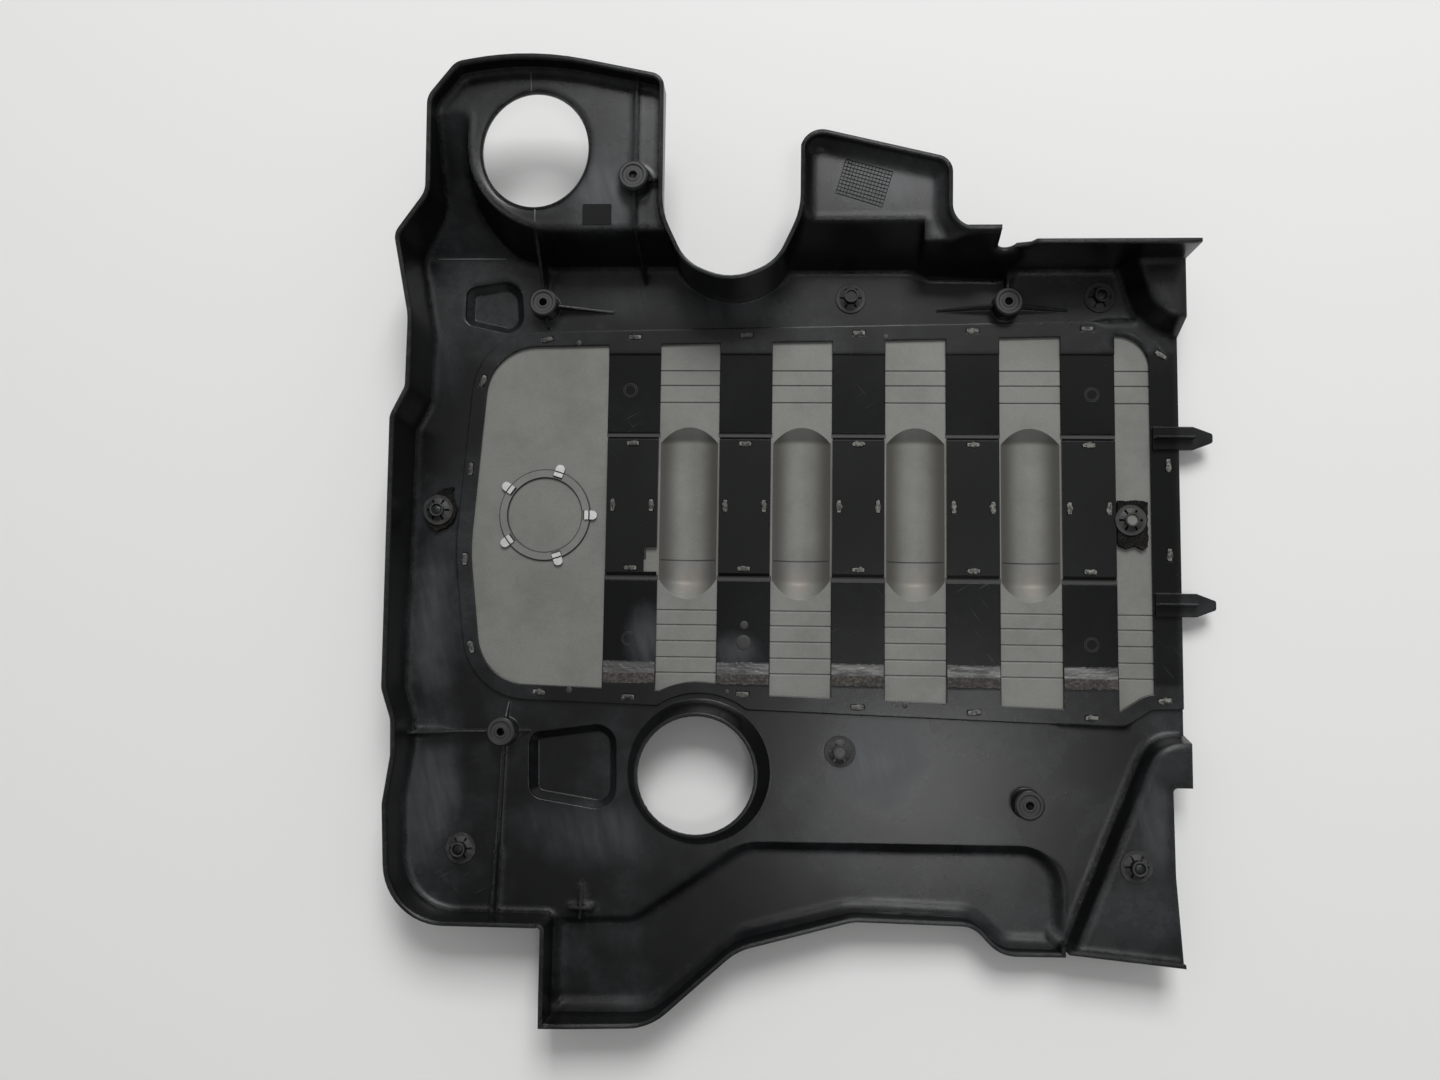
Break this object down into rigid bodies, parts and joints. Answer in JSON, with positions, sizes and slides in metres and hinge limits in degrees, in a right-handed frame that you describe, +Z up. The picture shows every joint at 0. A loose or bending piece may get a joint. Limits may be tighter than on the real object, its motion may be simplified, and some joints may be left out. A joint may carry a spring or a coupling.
{
  "type": "engine cover",
  "caption": "Moulded engine cover lying face down: deck with skirt, raised platforms, sunk pocket, filler collar and screw towers, and a painted trim panel with tubes behind windows.",
  "frame": {"origin": "middle of the cover's box, on the surface that it lies on", "axes": "+Z up out of the open engine side, +Y towards the raised platforms, +X towards the open end with the locating tongues"},
  "size_m": [0.5546, 0.6424, 0.0758],
  "materials": {
    "main_cover": "moulded, matte with worn sheen",
    "slot_plate": "moulded, satin",
    "trim_panel": "grey paint with a fine metallic speckle",
    "tabbed_disc": "bright sheet",
    "push_retainers": "black coating",
    "foam_scrap": "torn open-cell foam"
  },
  "bodies": {
    "root": {"main_cover": "main_cover", "trim_panel": "trim_panel", "tabbed_disc": "tabbed_disc", "push_retainers": "push_retainers", "foam_scrap_left": "foam_scrap", "foam_scrap_right": "foam_scrap", "slot_plate_1": "slot_plate", "slot_plate_2": "slot_plate", "slot_plate_3": "slot_plate", "slot_plate_4": "slot_plate", "slot_plate_5": "slot_plate"}
  },
  "joints": []
}
